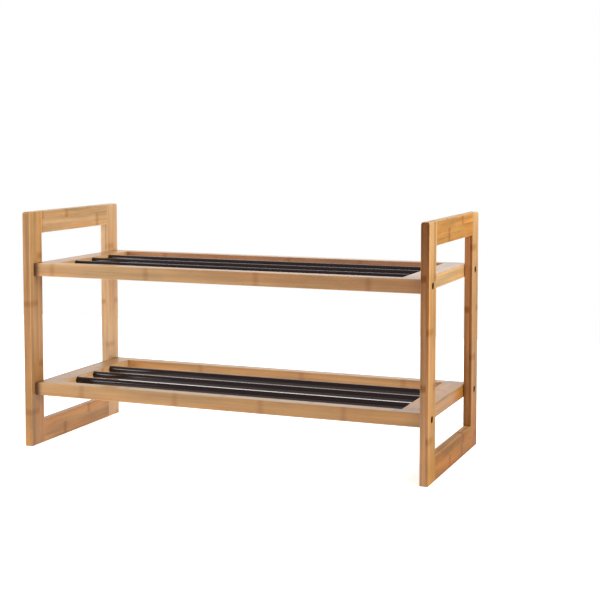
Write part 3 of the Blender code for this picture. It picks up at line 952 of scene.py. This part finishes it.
FLOOR_SIZE = 1.3
FLOOR_GLOW = 0.58
ROOM_LIGHT = 0.55
CORNER_DIMNESS = 0.95
BACKDROP_LIGHT = 1.0
HORIZON_LIGHT = 0.5
KEY_LIGHT = 3.4
KEY_ANGLE = 50
KEY_FROM = (0.85, -0.16, 0.50)
FILL_LIGHT = 17.0
FILL_SIZE = 0.7
FILL_PLACE = (-1.6, -1.2, 0.7)
FILL_TARGET = (-0.2, 0.0, 0.2)

CAMERA_PLACE = (0.9213, -2.0805, 0.5466)
CAMERA_DOWN = 4.145
CAMERA_TURN = 21.744
CAMERA_LENS = 78.92
CAMERA_SHIFT = -0.12


def build_floor():
    """A pale floor that fades into the white surround."""
    bm = bmesh.new()
    bmesh.ops.create_grid(bm, x_segments=1, y_segments=1, size=FLOOR_SIZE)
    floor = add_object("studio_floor", mesh_from(bm, "studio_floor"))
    floor.location.z = -0.0002
    material, _, shader = new_material("studio_floor")
    shader.inputs["Base Color"].default_value = (0.90, 0.90, 0.90, 1.0)
    shader.inputs["Roughness"].default_value = 0.9
    shader.inputs["Specular IOR Level"].default_value = 0.1
    shader.inputs["Emission Color"].default_value = (1.0, 1.0, 1.0, 1.0)
    shader.inputs["Emission Strength"].default_value = FLOOR_GLOW
    floor.data.materials.append(material)


def build_surround():
    """A white room: a lit backdrop low behind the rack, a bright band along its foot, a dim corner."""
    world = bpy.data.worlds.new("studio")
    world.use_nodes = True
    bpy.context.scene.world = world
    tree = world.node_tree
    tree.nodes.clear()
    g = Graph(tree)
    x, y, z = g.separate(g.node("ShaderNodeTexCoord").outputs["Generated"])
    behind = g.fade(y, 0.15, 0.75, 0.0, 1.0)
    across = g.fade(x, -0.75, -0.30, 0.45, 1.0)
    across = g.math("MULTIPLY", across, g.fade(x, -0.16, 0.04, 1.0, 0.0))
    low_down = g.fade(z, 0.30, 0.62, 1.0, 0.0)
    backdrop = g.math("MULTIPLY", behind, across)
    backdrop = g.math("MULTIPLY", backdrop, g.math("MULTIPLY", low_down, BACKDROP_LIGHT))
    strip = g.fade(x, -0.46, -0.34, 0.0, 1.0)
    strip = g.math("MULTIPLY", strip, g.fade(x, -0.24, -0.12, 1.0, 0.0))
    horizon = g.fade(g.math("ABSOLUTE", z), 0.06, 0.20, HORIZON_LIGHT, 0.0)
    horizon = g.math("MULTIPLY", g.math("MULTIPLY", strip, horizon), behind)
    corner = g.math("MULTIPLY", g.fade(x, 0.0, 0.12, 0.0, 1.0), g.fade(y, 0.2, 0.6, 0.0, 1.0))
    dimming = g.math("SUBTRACT", 1.0, g.math("MULTIPLY", corner, CORNER_DIMNESS))
    room = g.math("MULTIPLY", ROOM_LIGHT, dimming)
    seen = g.node("ShaderNodeBackground")
    lit = g.node("ShaderNodeBackground")
    for background in (seen, lit):
        background.inputs["Color"].default_value = (1.0, 1.0, 1.0, 1.0)
    g.feed(lit.inputs["Strength"], g.math("ADD", g.math("ADD", backdrop, horizon), room))
    mix = g.node("ShaderNodeMixShader")
    g.feed(mix.inputs[0], g.node("ShaderNodeLightPath").outputs["Is Camera Ray"])
    tree.links.new(lit.outputs[0], mix.inputs[1])
    tree.links.new(seen.outputs[0], mix.inputs[2])
    output = g.node("ShaderNodeOutputWorld")
    tree.links.new(mix.outputs[0], output.inputs[0])


def add_sun(name, energy, angle, towards):
    """A broad soft light from a direction."""
    light = bpy.data.lights.new(name, "SUN")
    light.energy = energy
    light.angle = math.radians(angle)
    lamp = bpy.data.objects.new(name, light)
    bpy.context.scene.collection.objects.link(lamp)
    lamp.rotation_euler = Vector(towards).to_track_quat("Z", "Y").to_euler()


def add_softbox(name, watts, size, place, target):
    """A square lamp that falls off with distance."""
    light = bpy.data.lights.new(name, "AREA")
    light.energy = watts
    light.size = size
    lamp = bpy.data.objects.new(name, light)
    bpy.context.scene.collection.objects.link(lamp)
    lamp.location = place
    towards = Vector(place) - Vector(target)
    lamp.rotation_euler = towards.to_track_quat("Z", "Y").to_euler()


def build_studio():
    """Floor, surround and lamps."""
    build_floor()
    build_surround()
    add_sun("key", KEY_LIGHT, KEY_ANGLE, KEY_FROM)
    add_softbox("fill", FILL_LIGHT, FILL_SIZE, FILL_PLACE, FILL_TARGET)
    bpy.context.scene.view_settings.view_transform = "Standard"


def build_camera():
    """The camera: a short telephoto a little above the rack, in front of it and to its right."""
    data = bpy.data.cameras.new("camera")
    data.lens = CAMERA_LENS
    data.shift_y = CAMERA_SHIFT
    camera = bpy.data.objects.new("camera", data)
    bpy.context.scene.collection.objects.link(camera)
    camera.location = CAMERA_PLACE
    camera.rotation_euler = (math.radians(90 - CAMERA_DOWN), 0, math.radians(CAMERA_TURN))
    bpy.context.scene.camera = camera


# ---------------------------------------------------------------------------------------------
# The rack
# ---------------------------------------------------------------------------------------------

ROD_COAT = (0.012, 0.0045, 0.0040)
BLACK_STEEL = (0.03, 0.02, 0.015)
BRASS = (0.60, 0.42, 0.17)
BEECH = (0.50, 0.33, 0.18)


def build_rack():
    """Every piece of the rack."""
    for side in SIDES:
        build_side_frame(side)
    black_steel = bare_metal("black_oxide_steel", BLACK_STEEL, 0.35, 400.0)
    brass = bare_metal("brass_insert", BRASS, 0.3, 300.0)
    dowel_wood = beech("beech_dowel", BEECH)
    for shelf in SHELVES:
        build_shelf_wood(shelf)
        for number, rod in enumerate(RODS):
            tube = coated_metal(f"{shelf}_{rod}_coat", ROD_COAT, 0.14, number + 1.0)
            build_rod(shelf, rod, tube)
        for side in SIDES:
            for end in ENDS:
                build_bolt(shelf, side, end, black_steel)
                joint = f"{shelf}_{side}_{end}"
                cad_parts[f"{joint}_insert"].material_slots[0].material = brass
                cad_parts[f"{joint}_dowel"].material_slots[0].material = dowel_wood


build_camera()
build_studio()
build_rack()
